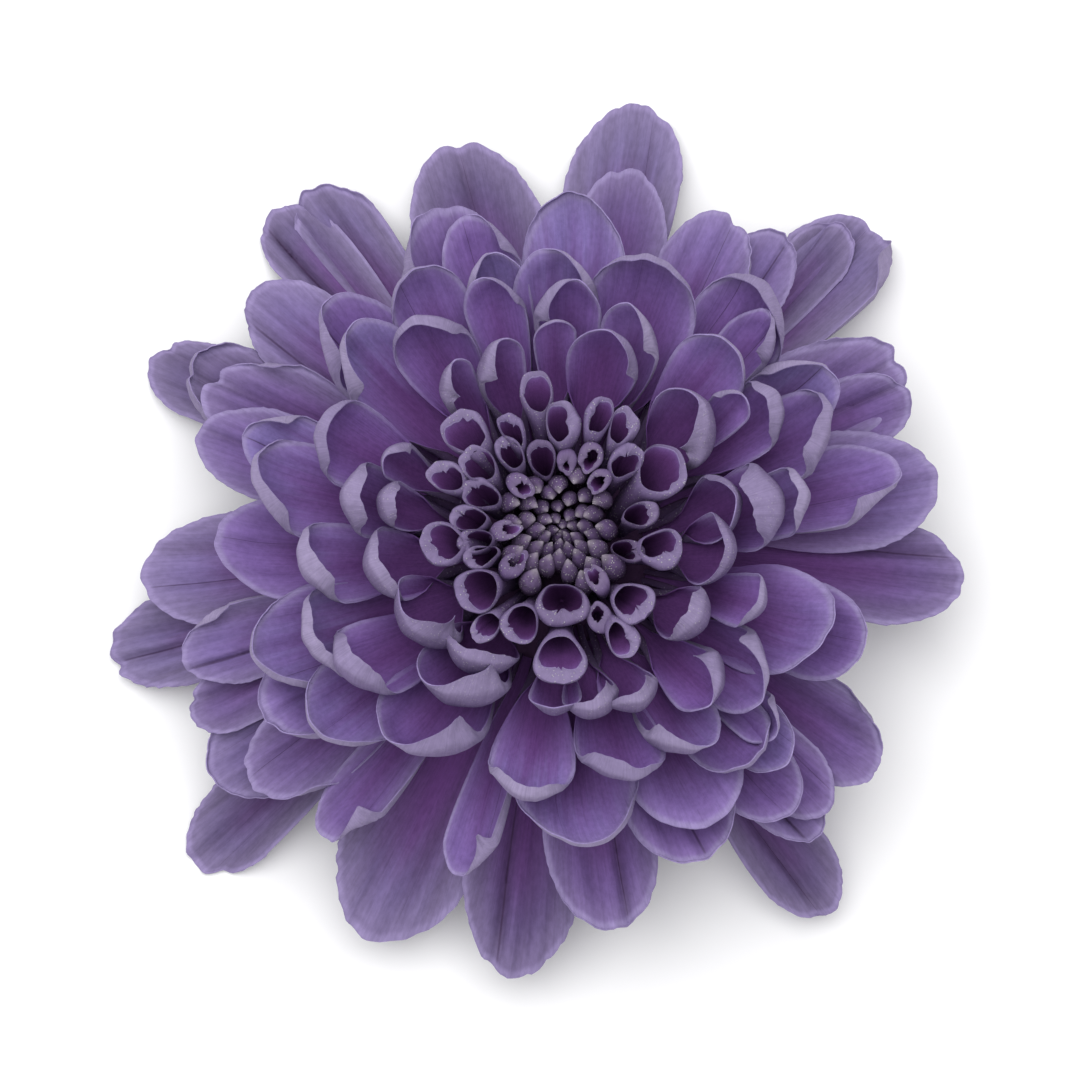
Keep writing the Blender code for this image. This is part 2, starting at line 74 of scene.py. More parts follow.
# Ray florets from the inside out, then one more beside the button: azimuth counter-clockwise from
# +X, reach of the outer edge from the axis, breadth of the limb, the side its edge curls in on
# (1 counter-clockwise, -1 clockwise, 0 the tip) and how strongly it curls.
RAY_FLORETS = (
    (9, 9.6, 3.0, 0, 1.5), (106, 9, 3.0, 0, 1), (-170, 10.4, 2.8, 0, 1.5), (-159, 10.2, 2.8, 0, 1.2),
    (-90, 10, 5.8, 0, 1.8), (125, 10.7, 2.8, 0, 1.5), (158, 10.4, 3.4, -0.5, 1.3),
    (175, 11, 3.0, -0.5, 1.5), (46, 10.8, 3.4, 0.5, 1.6), (-126, 14.2, 2.8, 0, 1.2),
    (-113, 12.6, 4.0, -0.5, 1.2), (-14, 12.0, 4.8, -0.6, 1.6), (58, 13.2, 3.4, -0.5, 2),
    (89, 12, 4.0, -1, 1.8), (117, 12.3, 2.8, -0.5, 1.5), (144, 12, 3.6, 0, 1),
    (-142, 12.7, 5.2, -0.3, 1.2), (-48, 12.5, 4.8, 0, 1.6), (28, 13.2, 5.6, -0.8, 0.7),
    (72, 13, 3.0, 1, 1.2), (-170, 14, 4.8, 0.2, 1.4), (-62, 14.5, 3.8, 1, 2), (157, 14, 3.4, -0.5, 1.5),
    (136, 15.2, 4.8, -0.5, 1), (101, 15, 3.8, 0.3, 0.6), (-91, 16, 6.0, 0, 1.6),
    (-123, 16.5, 7.2, 0.3, 1), (-35, 16.5, 5.8, 0, 1.4), (-8, 16.5, 6.8, -0.3, 0.7), (6, 17, 6.2, 1, 0.8),
    (172, 17.5, 4.4, 0, 1.8), (-149, 18, 8.0, 1, 1.7), (-92, 18, 4.8, 0, 0.1), (40, 18, 7.6, -1, 1.7),
    (157, 18, 3.8, -1, 2), (-81, 18.5, 5.2, 0.6, 2), (112, 18.5, 5.2, 1, 1.8), (126, 18.5, 4.2, 1, 2),
    (-169, 19, 7.2, 0.3, 1.2), (-69, 19, 5.4, 0.7, 1.9), (77, 19, 6.8, -1, 1), (92, 19.5, 4.0, 0, 0.3),
    (-123, 20, 8.8, 1, 1.7), (-21, 20.5, 5.2, -0.3, 0.8), (7, 21, 8.0, 0, 1.7), (35, 21, 3.8, 1, 1),
    (171, 21, 6.8, 0.3, 1.4), (-48, 22, 6.2, 1, 2), (69, 22, 6.2, -1, 1.2), (6, 23.5, 6.2, 0, 1),
    (48, 23.5, 7.4, -0.5, 0.5), (88, 23.5, 6.2, 1, 1.9), (30, 24, 6.4, -0.3, 1.3),
    (124, 24.5, 7.4, -0.5, 1.2), (-173, 25, 7.8, 0.3, 1.2), (-144, 25, 8.2, 0, 1.3),
    (-75, 25, 8.2, -0.5, 1), (-59, 25, 7.4, -1, 1.3), (-38, 25, 7.8, 1, 1.3), (106, 25, 5.6, -1, 1),
    (157, 25, 7.8, 0.3, 1), (-125, 26, 10.4, 1, 1.5), (-97, 26, 7.8, -0.3, 1.2),
    (-156, 26.5, 8.8, 0.2, 1.2), (-23, 27, 11.0, 0, 0.1), (91, 27, 7.8, -1, 1), (70, 27.5, 10.6, 0, 0.5),
    (104, 27.5, 6.0, 1, 1.6), (-44, 28, 4.8, 1, 1), (23, 28, 8.4, -0.6, 1.3), (137, 28, 8.4, 1, 1.1),
    (-51, 28.5, 8.0, 0, 0.4), (47, 29, 5.4, -1, 2), (120, 29, 7.6, 0.5, 0.6), (-142, 30, 9.2, 0.5, 0.6),
    (-88, 30, 11.4, 0.6, 0.8), (30, 30, 8.2, 1, 1), (169, 30, 9.0, 0.6, 1.2), (-45, 30.5, 6.2, 0, 0.2),
    (-20, 30.5, 9.2, 0, 0.1), (-61, 31, 11.4, 0, 0), (50, 31, 9.8, -0.2, 0.9),
    (-158, 31.5, 10.0, 0.6, 0.9), (135, 32, 9.4, 1, 1.2), (162, 32, 6.8, -1, 1), (-178, 33, 10.6, 0, 0),
    (-149, 33, 10.4, 0.8, 0.7), (-107, 33.5, 5.2, 1, 2.4), (12, 33, 8.2, -1, 1.2), (106, 33, 7.2, -1, 1),
    (-66, 33.5, 10.4, 0, 0.1), (-51, 34, 8.0, 0, 0.1), (87, 34, 10.0, 0, 0.3), (111, 35, 12.2, 1, 1.1),
    (-129, 36, 6.4, 1, 1.5), (-44, 36, 6.8, 0, 0.1), (-83, 37, 10.4, 0, 0.1), (-49, 37, 6.2, 0, 0.2),
    (-35, 37, 8.8, 1, 0.7), (12, 37, 11.6, 0, 0), (26, 37, 7.4, 0, 0.1), (63, 37, 8.8, -1, 0.5),
    (162, 37, 8.8, 0, 0), (-142, 37.5, 9.2, 1, 0.6), (-164, 38, 7.4, -1, 1.2), (31, 38, 10.4, 0.5, 0.3),
    (55, 38.5, 7.2, 0, 0.2), (153, 38.5, 9.2, -1, 0.8), (-157, 39, 6.4, 0, 0.1), (-3, 39, 10.0, 0, 0),
    (79, 39, 9.0, 0, 0), (-147, 40, 9.8, 0, 0.3), (139, 40.5, 9.4, 0, 0.1), (-178, 41, 11.2, 0, 0),
    (-97, 41, 11.0, 0, 0), (152, 41, 9.0, 0.5, 1), (-118, 41.5, 13.4, 0, 0), (-53, 43, 7.8, 0, 0.1),
    (104, 44, 12.8, 0, 0), (50, 44.5, 6.2, 0, 0.2), (-169, 45, 9.2, 0, 0.1), (-142, 46, 8.2, 0, 0.1),
    (122, 46, 8.2, -0.5, 0.4), (152, 46, 7.8, 0, 0.1), (48, 46.5, 10.4, -1, 1.2),
    (128, 46.5, 7.4, 0, 0.1), (81, 48, 11.2, 0, 0), (-19, 8.6, 2.6, 0.3, 1.7),
)

# Points on each kind of floret: along the trough, round half the tip, across the body, in the lip
Detail = namedtuple("Detail", "trough cap body lip")
CUP_DETAIL = Detail(8, 16, 8, 7)
SPOON_DETAIL = Detail(9, 20, 10, 6)
STRAP_DETAIL = Detail(11, 24, 15, 4)

# The reach at which each kind of floret gives way to the next
TUBES_TO = 16.2
CUPS_TO = 19.5
SPOONS_TO = 32.5
STRAPS_TO = 38.2

FULL_REACH = 48
FINE_STEPS = 32
LIP_STEPS = 16
FOOT_DROP = 0.65
SHEET_THICKNESS = 0.22
BRACT_THICKNESS = 0.4
UP = np.array((0, 0, 1.0))


def between(low, high, share):
    return low + (high - low) * share


def eased(share):
    share = np.clip(share, 0, 1)
    return share * share * (3 - 2 * share)


def bump(x, width):
    return np.exp(-((x / width) ** 2))


def wrapped(turn):
    """The same turn, from minus half a circle to half a circle."""
    return np.angle(np.exp(1j * turn))


def facing(azimuth):
    turn = math.radians(azimuth)
    return np.array((math.cos(turn), math.sin(turn), 0))


def turned_to(turn, radial, lateral, height):
    east = radial * math.cos(turn) - lateral * math.sin(turn)
    north = radial * math.sin(turn) + lateral * math.cos(turn)
    return np.stack([east, north, height], -1)


def stage_at(reach):
    """The growth stage for a reach that may lie between two rows."""
    reaches = [row.reach for row in GROWTH]
    columns = zip(*GROWTH)
    return Stage(*(np.interp(reach, reaches, column) for column in columns))


class Spine:
    """A floret's centre line in the upright plane, as radius and height read by arc length."""

    HANDLE = 0.40
    SAMPLES = 48

    def __init__(self, root, tip, rise, fall):
        root, tip = np.array(root, float), np.array(tip, float)
        handle = np.linalg.norm(tip - root) * self.HANDLE
        leaving = root + handle * np.array((math.cos(rise), math.sin(rise)))
        arriving = tip - handle * np.array((math.cos(fall), math.sin(fall)))
        t = np.linspace(0, 1, self.SAMPLES)[:, None]
        s = 1 - t
        self.points = s**3 * root + 3 * s * s * t * leaving + 3 * s * t * t * arriving + t**3 * tip
        self.along = np.concatenate([[0], np.cumsum(np.linalg.norm(np.diff(self.points, axis=0), axis=1))])
        self.length = self.along[-1]
        slope = np.gradient(self.points, self.along, axis=0)
        self.tangents = slope / np.linalg.norm(slope, axis=1)[:, None]

    def at(self, distance):
        """Points and unit tangents at these distances, straight on past the end."""
        inside = np.clip(distance, 0, self.length)
        point = np.stack([np.interp(inside, self.along, self.points[:, k]) for k in (0, 1)], -1)
        tangent = np.stack([np.interp(inside, self.along, self.tangents[:, k]) for k in (0, 1)], -1)
        tangent /= np.linalg.norm(tangent, axis=-1, keepdims=True)
        return point + tangent * (distance - inside)[..., None], tangent


class Nature:
    """The seeded differences between one floret and the next."""

    def __init__(self, draw, reach):
        self.twist = math.radians(draw.normal(0, 7))
        self.bend = draw.normal(0, 0.4)
        self.phases = draw.uniform(0, 2 * math.pi, 6)
        self.cup = draw.uniform(0.92, 1.08)
        self.limb = draw.uniform(0.70, 0.84) * np.interp(reach, (10, 16), (0.72, 1.0))
        self.roll_out = draw.uniform(0.2, 1.3, 2)
        self.recurve = math.radians(30) * draw.uniform(0, 1, 2) * np.interp(reach, (18, 28), (0, 1))
        self.crease = draw.uniform(-0.45, 0.45)
        self.crease_depth = np.interp(reach, (20, 33, 40), (0.0, 0.20, 0.45)) * draw.uniform(0.3, 1.3)
        # Width of the painted dark shade line along the crease
        self.crease_shade_width = 0.02 + draw.uniform(0, 1) ** 2 * np.interp(reach, (26, 36), (0, 1))
        self.wave_depth = np.interp(reach, (14, 24, 33, 40), (0.01, 0.06, 0.13, 0.24))
        self.wave_depth *= draw.uniform(0.6, 1.4)
        self.wave_length = draw.uniform(2.2, 3.2)
        creased = np.interp(reach, (30, 36), (0, 1))
        self.notch = between(draw.uniform(-0.4, 0.4), math.asin(self.crease + 0.1), creased)
        self.notch_depth = np.interp(reach, (14, 30, 38), (0.0, 0.01, 0.07)) * draw.uniform(0.2, 1.4)
        self.point = draw.uniform(-0.03, 0.07)
        self.skew = draw.normal(0, 0.035)
        self.tooth = draw.uniform(0, 0.8)
        self.serration = np.interp(reach, (32, 40), (0.0, 0.045)) * draw.uniform(0.2, 1.0)
        self.serrated_at = draw.uniform(-1.3, 1.3)
        self.tone = draw.uniform(0, 1)


def lip_share(angle, along, curl, reach):
    """How far the margin has rolled over: evenly about the tip, or down one side from near the tip."""
    towards = angle if curl >= 0 else -angle
    start = np.interp(reach, (30, 38), (0.28, -0.12))
    one_sided = eased(towards + start) * between(0.28, 1, bump(np.maximum(towards - 0.7, 0), 0.6))
    even = np.exp(-np.abs(angle / np.interp(reach, (10, 17), (1.3, 0.82))) ** 2.2)
    share = abs(curl) * one_sided + (1 - abs(curl)) * even
    return share * eased((along - 0.3) / 0.7), towards


# A petal's middle surface, one value for each row and ring: its points and normals, its place for the finish,
# how near it is to the margin, the painted shade in its folds and its distance from the painted crease shade
# line
Sheet = namedtuple("Sheet", "points normals fan along edge fold crease tone age")

# The ribs of a petal, a row for each place on its margin
Rows = namedtuple("Rows", "foot ahead across angle along silhouette")


def rows_round(length, half, nature, reach, detail):
    """A rib for each place on the margin: up one side, round the tip and down the other."""
    limb = min(2 * half * nature.limb, 0.55 * length)
    throat = length - limb
    feet = np.linspace(0, 1, detail.trough + 1) ** 0.85 * throat
    turn = np.linspace(math.pi / 2, -math.pi / 2, 2 * detail.cap + 1)[1:-1]
    narrow = np.interp(reach, (24, 36), (0.25, 0.36))
    halves = half * between(narrow, 1, eased(feet / throat * 1.15 - 0.15))
    none = np.zeros(len(feet))
    foot = np.concatenate([feet, np.full(len(turn), throat), feet[::-1]])
    forward = np.concatenate([none, limb * np.cos(turn), none])
    sideways = np.concatenate([halves, half * np.sin(turn), -halves[::-1]])
    silhouette = np.hypot(forward, sideways)
    ahead, across = forward / silhouette, sideways / silhouette
    return Rows(foot, ahead, across, np.arctan2(across, ahead), foot / throat, silhouette)


def uneven_outline(rows, towards, curl, lip, nature, reach):
    """The outline's factor at each row: slight points, shoulders, notches and a finely waved edge."""
    angle = rows.angle
    beats = ((5, 0.4), (11, 0.6), (19, 1.0), (29, 1.2))
    ragged = sum(size * np.sin(beat * angle + phase) for (beat, size), phase in zip(beats, nature.phases))
    factor = 1 + nature.point * bump(angle, 0.4) + nature.skew * np.sin(2 * angle)
    factor += (0.002 + 0.003 * (reach > 34)) * ragged * rows.along
    pinch = min(lip, 1.5) / 1.5 * abs(curl) * (rows.ahead > 0)
    factor += pinch * (0.05 * bump(towards + 0.3, 0.2) - 0.07 * bump(towards - 0.75, 0.5))
    factor -= nature.notch_depth * bump(angle - nature.notch, 0.09) * (rows.ahead > 0)
    factor -= nature.serration * (4.2 * angle % 1) * bump(angle - nature.serrated_at, 0.6) * (rows.ahead > 0)
    sway = np.sin(8 * rows.along + nature.phases[3] + 2 * rows.across)
    factor += np.interp(reach, (30, 40), (0, 0.03)) * sway * rows.along * (rows.ahead <= 0)
    return factor, ragged


def rib_angles(rows, stage, curl, lip, share, nature, t, y):
    """How steeply each rib climbs, from the spine to the margin and on through the folded lip."""
    reach = stage.reach
    strength = 1 - np.exp(-2.3 * lip * share)
    closed = np.interp(reach, (20, 30, 38, 44), (177, 172, 130, 90))
    opens_from = np.interp(reach, (10, 20, 34, 42), (0.55, 0.35, 0.15, 0.0))
    opens_to = np.interp(reach, (10, 20, 34, 42), (1.0, 0.85, 0.7, 0.5))
    tip_cup = np.interp(reach, (6.5, 14, 20, 27, 34, 42), (22, 34, 50, 50, 34, 16))
    beside = np.abs(rows.across) ** 1.4
    opening = eased((rows.along - opens_from) / (opens_to - opens_from))
    round_mouth = np.interp(reach, (8, 13, 18), (1.34, 1.22, 1.0))
    cup_beside = stage.cup * round_mouth * nature.cup * (1 + 0.16 * curl * rows.across * min(lip, 1))
    wall = np.interp(reach, (28, 38), (110, 60))
    cup_beside = between(closed, np.maximum(cup_beside, wall * strength), opening)
    cup_ahead = np.maximum(tip_cup * nature.cup, (wall - stage.fall) * strength)
    cup = np.radians(between(cup_ahead, cup_beside, beside))
    folded = np.radians(between(170 - stage.fall, 162, beside))
    margin = np.maximum(between(cup + math.radians(10), folded, strength), cup)
    side = (rows.across + 1) / 2
    loose = (1 - strength) * eased(rows.along * 1.5 - 0.5)
    roll_out = between(*nature.roll_out, side) * loose * np.interp(reach, (12, 20, 34), (0.0, 0.6, 1.1))
    recurve = between(*nature.recurve, side) * loose
    body = cup[:, None] * t**1.25 * (1 - roll_out[:, None] * eased((t - 0.45) / 0.6))
    body = body - recurve[:, None] * eased((t - 0.6) / 0.4)
    lip_turn = body[:, -1:] + (margin - cup)[:, None] * eased(y / np.interp(reach, (10, 17), (0.8, 0.38)))
    return body, lip_turn


def floret(azimuth, stage, breadth, curl, lip, nature, detail):
    """Middle surface of one floret: a row of points for each place on its margin, spine first, lip last."""
    reach = stage.reach
    half = breadth / 2
    tip_r = reach
    flat_limb = np.clip((reach - 6.4) / (0.9 * breadth), 0.5, 1)
    flat_foot = min(np.interp(reach, (9, 14, 20), (0.5, 0.45, 0.32)), flat_limb)
    lip_width = np.interp(reach, (8, 14, 24, 32, 42), (0.22, 0.21, 0.20, 0.20, 0.28))
    t = np.linspace(0, 1, FINE_STEPS + 1)
    y = np.linspace(0, 1, LIP_STEPS + 1)[1:]
    body_rings = np.round(np.linspace(0, 1, detail.body + 1) ** 0.9 * FINE_STEPS).astype(int)
    lip_rings = np.round(np.linspace(0, 1, detail.lip + 1)[1:] ** 1.2 * LIP_STEPS).astype(int)
    rings = np.concatenate([body_rings, FINE_STEPS + lip_rings])
    for _ in range(3):
        root = (stage.root_r, stage.root_z)
        rise = math.radians(stage.rise * FOOT_DROP)
        spine = Spine(root, (tip_r, stage.tip_z), rise, math.radians(stage.fall))
        rows = rows_round(spine.length, half, nature, reach, detail)
        ahead, across = rows.ahead[:, None], rows.across[:, None]
        share, towards = lip_share(rows.angle, rows.along, curl, reach)
        outline, ragged = uneven_outline(rows, towards, curl, lip, nature, reach)
        silhouette = rows.silhouette * outline
        swell = 0.22 * np.sin(1.3 * rows.angle + nature.phases[4])
        swell = swell + 0.08 * np.sin(3.1 * rows.angle + nature.phases[5])
        band = breadth * (0.010 + lip_width * lip * share) * (1 + 0.02 * ragged + swell)
        band *= 1 + nature.tooth * bump(towards - 0.1, 0.18) * (lip > 0.8) * abs(curl)
        band = np.minimum(band + 0.03, 0.95 * silhouette)[:, None]

        body, lip_turn = rib_angles(rows, stage, curl, lip, share, nature, t, y)
        flatness = between(flat_foot, flat_limb, eased((rows.along - 0.55) / 0.45))[:, None]
        middles = (body[:, 1:] + body[:, :-1]) / 2
        start = np.zeros((len(silhouette), 1))
        out_body = np.concatenate([start, np.cumsum(np.cos(middles), 1) / FINE_STEPS], 1)
        up_body = np.concatenate([start, np.cumsum(np.sin(middles), 1) / FINE_STEPS], 1) * flatness
        rib = (silhouette / out_body.max(1))[:, None]
        out_body *= rib
        up_body *= rib
        middles = np.concatenate([body[:, -1:], lip_turn], 1)
        middles = (middles[:, 1:] + middles[:, :-1]) / 2
        out_lip = out_body[:, -1:] + np.cumsum(np.cos(middles), 1) * band / LIP_STEPS
        up_lip = up_body[:, -1:] + np.cumsum(np.sin(middles), 1) * band / LIP_STEPS * flatness
        out = np.concatenate([out_body, out_lip], 1)[:, rings]
        up = np.concatenate([up_body, up_lip], 1)[:, rings]
        angles = np.concatenate([body, lip_turn], 1)[:, rings]
        arc = np.concatenate([t * rib, rib + y * band], 1)[:, rings]

        distance = rows.foot[:, None] + out * ahead
        side = out * across
        point, tangent = spine.at(distance)
        progress = np.clip(distance / spine.length, 0, 1.2)
        place = side / (half * between(0.4, 1, eased(progress * 1.4)))
        from_crease = place - nature.crease - 0.1 * progress
        crease = bump(from_crease, 0.08)
        wave = np.cos(2 * math.pi * half / nature.wave_length * place + nature.phases[4])
        grown = eased(progress * 1.6 - 0.4)
        up = up + grown * (nature.wave_depth * wave - nature.crease_depth * crease)
        roll = nature.twist * progress**2
        lateral = side * np.cos(roll) - up * np.sin(roll) + nature.bend * progress**2
        lift = side * np.sin(roll) + up * np.cos(roll)
        radius = point[..., 0] - lift * tangent[..., 1]
        height = np.maximum(point[..., 1] + lift * tangent[..., 0], SHEET_THICKNESS / 2)
        tip_r += reach - np.hypot(radius, lateral).max()
    sink, stand = -np.sin(angles), np.cos(angles)
    normal_side = sink * across * np.cos(roll) - stand * np.sin(roll)
    normal_lift = sink * across * np.sin(roll) + stand * np.cos(roll)
    normal_r = sink * ahead * tangent[..., 0] - normal_lift * tangent[..., 1]
    normal_z = sink * ahead * tangent[..., 1] + normal_lift * tangent[..., 0]
    turn = math.radians(azimuth)
    points = turned_to(turn, radius, lateral, height)
    normals = turned_to(turn, normal_r, normal_side, normal_z)
    flat_along = rows.foot[:, None] + arc * ahead
    fan = np.arctan2(arc * across, flat_along + 0.35 * spine.length) * spine.length
    edge = np.concatenate([t[body_rings], 1 + y[lip_rings - 1]]) + np.zeros_like(arc)
    # How much painted shade the finish puts in each crease and wave valley
    fold = grown * (crease * nature.crease_depth / 0.4 + (1 - wave) * nature.wave_depth)
    # Distance from the crease, in widths of the painted dark crease shade line
    line = from_crease * half / nature.crease_shade_width
    age = reach / FULL_REACH
    return Sheet(points, normals, fan, flat_along / spine.length, edge, fold, line, nature.tone, age)


@functools.lru_cache(maxsize=None)
def sheet_layout(rows, rings, trough):
    """Where each vertex of a thick sheet comes from, its faces and which side each face is on."""
    number = {}

    def corner(row, ring, face):
        if ring == 0:
            row = min(row, rows - 1 - row, trough)
        return number.setdefault((row, ring, face), len(number))

    faces = []
    sides = []
    for face in (0, 1):
        for row in range(rows - 1):
            for ring in range(rings - 1):
                quad = [corner(row, ring, face), corner(row + 1, ring, face)]
                quad += [corner(row + 1, ring + 1, face), corner(row, ring + 1, face)]
                quad = list(dict.fromkeys(quad))
                if len(quad) > 2:
                    faces.append(quad[:: -1 if face else 1])
                    sides.append(face)
    edge = [(row, rings - 1) for row in range(rows)]
    edge += [(rows - 1, ring) for ring in range(rings - 2, -1, -1)]
    edge += [(0, ring) for ring in range(rings)]
    for here, after in zip(edge, edge[1:]):
        quad = [corner(*here, 0), corner(*after, 0), corner(*after, 1), corner(*here, 1)]
        quad = list(dict.fromkeys(quad))
        if len(quad) > 2:
            faces.append(quad)
            sides.append(0)
    return np.array(list(number)), faces, sides


# A petal ready for a mesh, with what the finishes read; a side is 0 for the inner face, 1 for the outer
Part = namedtuple("Part", "points flat edge fold crease tone age faces sides")
NO_CREASE = 9.0
TONE_SHIFT = 40


def thick_part(sheet, trough, thickness):
    """A sheet given its thickness, thinner towards the margin."""
    rows, rings = sheet.points.shape[:2]
    source, faces, sides = sheet_layout(rows, rings, trough)
    row, ring, face = source.T
    edge = sheet.edge[row, ring]
    thick = thickness * (1 - 0.3 * np.clip(edge, 0, 1.5))
    shift = (np.where(face == 0, 1, -1) * thick / 2)[:, None]
    points = sheet.points[row, ring] + sheet.normals[row, ring] * shift
    points[:, 2] = np.maximum(points[:, 2], 0)
    flat = np.stack([sheet.fan[row, ring] + TONE_SHIFT * sheet.tone, sheet.along[row, ring]], -1)
    fold, crease = sheet.fold[row, ring], sheet.crease[row, ring]
    return Part(points, flat, edge, fold, crease, sheet.tone, sheet.age, faces, sides)


def petal_object(name, parts, materials):
    """One object made of many petals, with what the finishes read kept on it."""
    starts = np.cumsum([0] + [len(part.points) for part in parts])
    faces = [[corner + start for corner in face] for part, start in zip(parts, starts) for face in part.faces]
    mesh = bpy.data.meshes.new(name)
    mesh.from_pydata(np.concatenate([part.points for part in parts]) * MM, [], faces)
    mesh.polygons.foreach_set("material_index", [side for part in parts for side in part.sides])
    mesh.shade_smooth()
    mesh.set_sharp_from_angle(angle=math.radians(60))
    corners = np.empty(len(mesh.loops), np.int32)
    mesh.loops.foreach_get("vertex_index", corners)
    layer = mesh.uv_layers.new(name="petal")
    flat = np.concatenate([part.flat for part in parts])
    layer.uv.foreach_set("vector", flat[corners].astype(np.float32).ravel())
    for attribute in ("edge", "fold", "crease", "tone", "age"):
        values = [np.broadcast_to(getattr(part, attribute), len(part.points)) for part in parts]
        made = mesh.attributes.new(attribute, "FLOAT", "POINT")
        made.data.foreach_set("value", np.concatenate(values).astype(np.float32))
    made = bpy.data.objects.new(name, mesh)
    bpy.context.scene.collection.objects.link(made)
    for material in materials:
        mesh.materials.append(material)
    return made


def plain_object(name, points, faces, material, smooth_below=50):
    mesh = bpy.data.meshes.new(name)
    mesh.from_pydata(np.asarray(points) * MM, [], faces)
    mesh.shade_smooth()
    mesh.set_sharp_from_angle(angle=math.radians(smooth_below))
    made = bpy.data.objects.new(name, mesh)
    bpy.context.scene.collection.objects.link(made)
    mesh.materials.append(material)
    return made


def lathe(profile, sides, ripple=None):
    """A closed solid turned from (radius, height) points that start and end on the axis."""
    points = [(0, 0, profile[0][1])]
    for radius, height in profile[1:-1]:
        for side in range(sides):
            angle = 2 * math.pi * side / sides
            wide = radius * (ripple(angle) if ripple else 1)
            points.append((wide * math.cos(angle), wide * math.sin(angle), height))
    points.append((0, 0, profile[-1][1]))
    last = len(points) - 1
    bands = len(profile) - 2
    faces = []
    for side in range(sides):
        after = (side + 1) % sides
        faces.append((0, 1 + after, 1 + side))
        for band in range(bands - 1):
            low, high = 1 + band * sides, 1 + (band + 1) * sides
            faces.append((low + side, low + after, high + after, high + side))
        top = 1 + (bands - 1) * sides
        faces.append((last, top + side, top + after))
    return points, faces


def rounded(profile, steps=4):
    """The profile with each inner corner cut round, for a smooth turned surface."""
    corners = [np.array(point, float) for point in profile]
    done = [corners[0]]
    for before, here, after in zip(corners, corners[1:], corners[2:]):
        first, last = between(here, before, 0.3), between(here, after, 0.3)
        for t in np.linspace(0, 1, steps):
            done.append((1 - t) ** 2 * first + 2 * t * (1 - t) * here + t * t * last)
    return [tuple(point) for point in done] + [tuple(corners[-1])]


POD_RINGS = 31

# A pod's rings from its foot, the ring at its mouth and the points round each ring. A ring says how far
# along the pod it is, how far in from its wall to its mouth's edge, its girth and its place for the finish.
Profile = namedtuple("Profile", "rings mouth_ring sides")
CLOSED_RINGS = (
    (0, 0, 0.45, 0), (0.3, 0, 0.78, 0.3), (0.5, 0, 1, 0.5), (0.64, 0, 1.04, 0.64),
    (0.77, 0, 0.88, 0.77), (0.88, 0, 0.58, 0.88), (0.96, 0, 0.28, 0.96), (1, 0, 0.04, 1),
)
OPEN_RINGS = (
    (0, 0, 0.34, 0), (0.3, 0, 0.42, 0.1), (0.55, 0, 0.52, 0.2), (0.75, 0, 0.72, 0.4),
    (0.88, 0.02, 0.93, 0.6), (0.95, 0.10, 1, 0.8), (0.99, 0.30, 1, 1.0), (1, 0.55, 1, 1.2),
    (0.992, 0.82, 1, 1.4), (0.978, 1, 1, 1.5), (0.968, 1, 0.99, 1.0), (0.955, 0.85, 0.97, 0.8),
    (0.92, 0.62, 0.90, 0.6), (0.82, 0.5, 0.75, 0.4), (0.62, 0.5, 0.48, 0.15), (0.42, 0.5, 0.1, 0),
)
CLOSED_POD = Profile(CLOSED_RINGS, 8, 20)
OPEN_POD = Profile(OPEN_RINGS, 9, 40)

# A mouth's whole rim, its wider lip and the side that is on, how far its flanks close, how level it
# is held and how far it narrows towards the axis
Mouth = namedtuple("Mouth", "rim lip side slit tilt taper")
NO_MOUTH = Mouth(0, 0, 0, 0, 0, 0)


